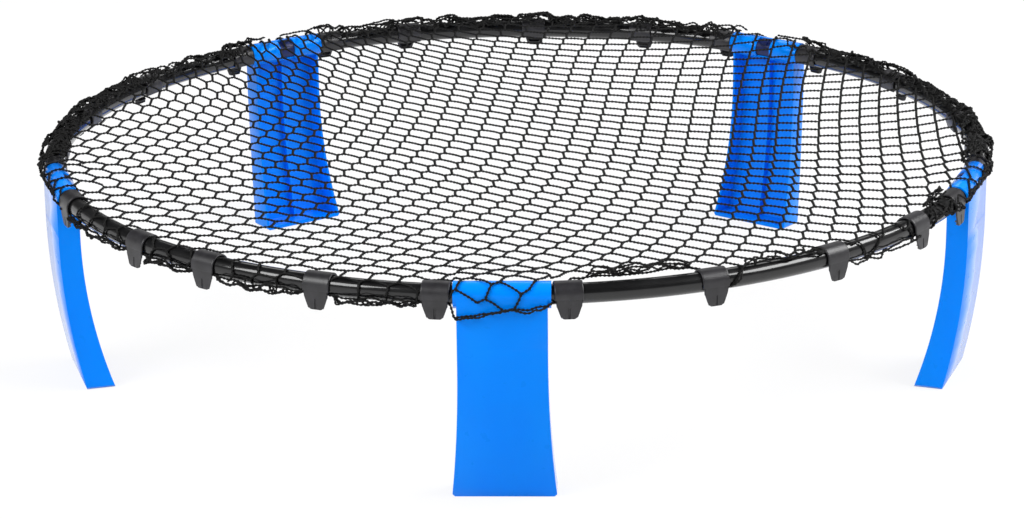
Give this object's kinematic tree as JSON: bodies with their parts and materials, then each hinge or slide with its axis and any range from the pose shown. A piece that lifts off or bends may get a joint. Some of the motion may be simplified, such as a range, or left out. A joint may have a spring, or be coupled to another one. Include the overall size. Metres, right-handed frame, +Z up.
{
  "type": "roundnet set",
  "caption": "Low round ball-game net: knotted cord stretched inside a steel tube ring on folding channel legs, held by slide-on clips.",
  "frame": {"origin": "on the floor, under the middle of the ring", "axes": "+Z up, -Y towards the front leg, +X to the right seen from the front"},
  "size_m": [0.9188, 0.9201, 0.2028],
  "materials": {
    "ring_tube": "glossy black powder coat",
    "joiner_plastic": "satin",
    "leg_plastic": "smooth moulded gloss",
    "clip_plastic": "satin moulded",
    "net_cord": "twisted cord"
  },
  "bodies": {
    "ring": {"rim_tube_1": "ring_tube", "rim_tube_2": "ring_tube", "rim_tube_3": "ring_tube", "rim_tube_4": "ring_tube", "rim_tube_5": "ring_tube", "joiner_1": "joiner_plastic", "joiner_2": "joiner_plastic", "joiner_3": "joiner_plastic", "joiner_4": "joiner_plastic", "joiner_5": "joiner_plastic", "clip_1": "clip_plastic", "clip_2": "clip_plastic", "clip_3": "clip_plastic", "clip_4": "clip_plastic", "clip_5": "clip_plastic", "clip_6": "clip_plastic", "clip_7": "clip_plastic", "clip_8": "clip_plastic", "clip_9": "clip_plastic", "clip_10": "clip_plastic", "clip_11": "clip_plastic", "clip_12": "clip_plastic", "clip_13": "clip_plastic", "clip_14": "clip_plastic", "clip_15": "clip_plastic", "clip_16": "clip_plastic", "clip_17": "clip_plastic", "clip_18": "clip_plastic", "clip_19": "clip_plastic", "clip_20": "clip_plastic", "clip_21": "clip_plastic", "clip_22": "clip_plastic", "clip_23": "clip_plastic", "clip_24": "clip_plastic", "clip_25": "clip_plastic", "net": "net_cord", "net_margin": "net_cord"},
    "leg_1": {"leg_1": "leg_plastic"},
    "leg_2": {"leg_2": "leg_plastic"},
    "leg_3": {"leg_3": "leg_plastic"},
    "leg_4": {"leg_4": "leg_plastic"},
    "leg_5": {"leg_5": "leg_plastic"}
  },
  "joints": [
    {"name": "leg_1_fold", "type": "hinge", "parent": "ring", "child": "leg_1", "pos_m": [0, -0.44689, 0.189], "axis": [1, 0, 0], "range_deg": [0, 75]},
    {"name": "leg_2_fold", "type": "hinge", "parent": "ring", "child": "leg_2", "pos_m": [0.42502, -0.1381, 0.189], "axis": [0.309, 0.9511, 0], "range_deg": [0, 75]},
    {"name": "leg_3_fold", "type": "hinge", "parent": "ring", "child": "leg_3", "pos_m": [0.26267, 0.36154, 0.189], "axis": [-0.809, 0.5878, 0], "range_deg": [0, 75]},
    {"name": "leg_4_fold", "type": "hinge", "parent": "ring", "child": "leg_4", "pos_m": [-0.26267, 0.36154, 0.189], "axis": [-0.809, -0.5878, 0], "range_deg": [0, 75]},
    {"name": "leg_5_fold", "type": "hinge", "parent": "ring", "child": "leg_5", "pos_m": [-0.42502, -0.1381, 0.189], "axis": [0.309, -0.9511, 0], "range_deg": [0, 75]}
  ]
}
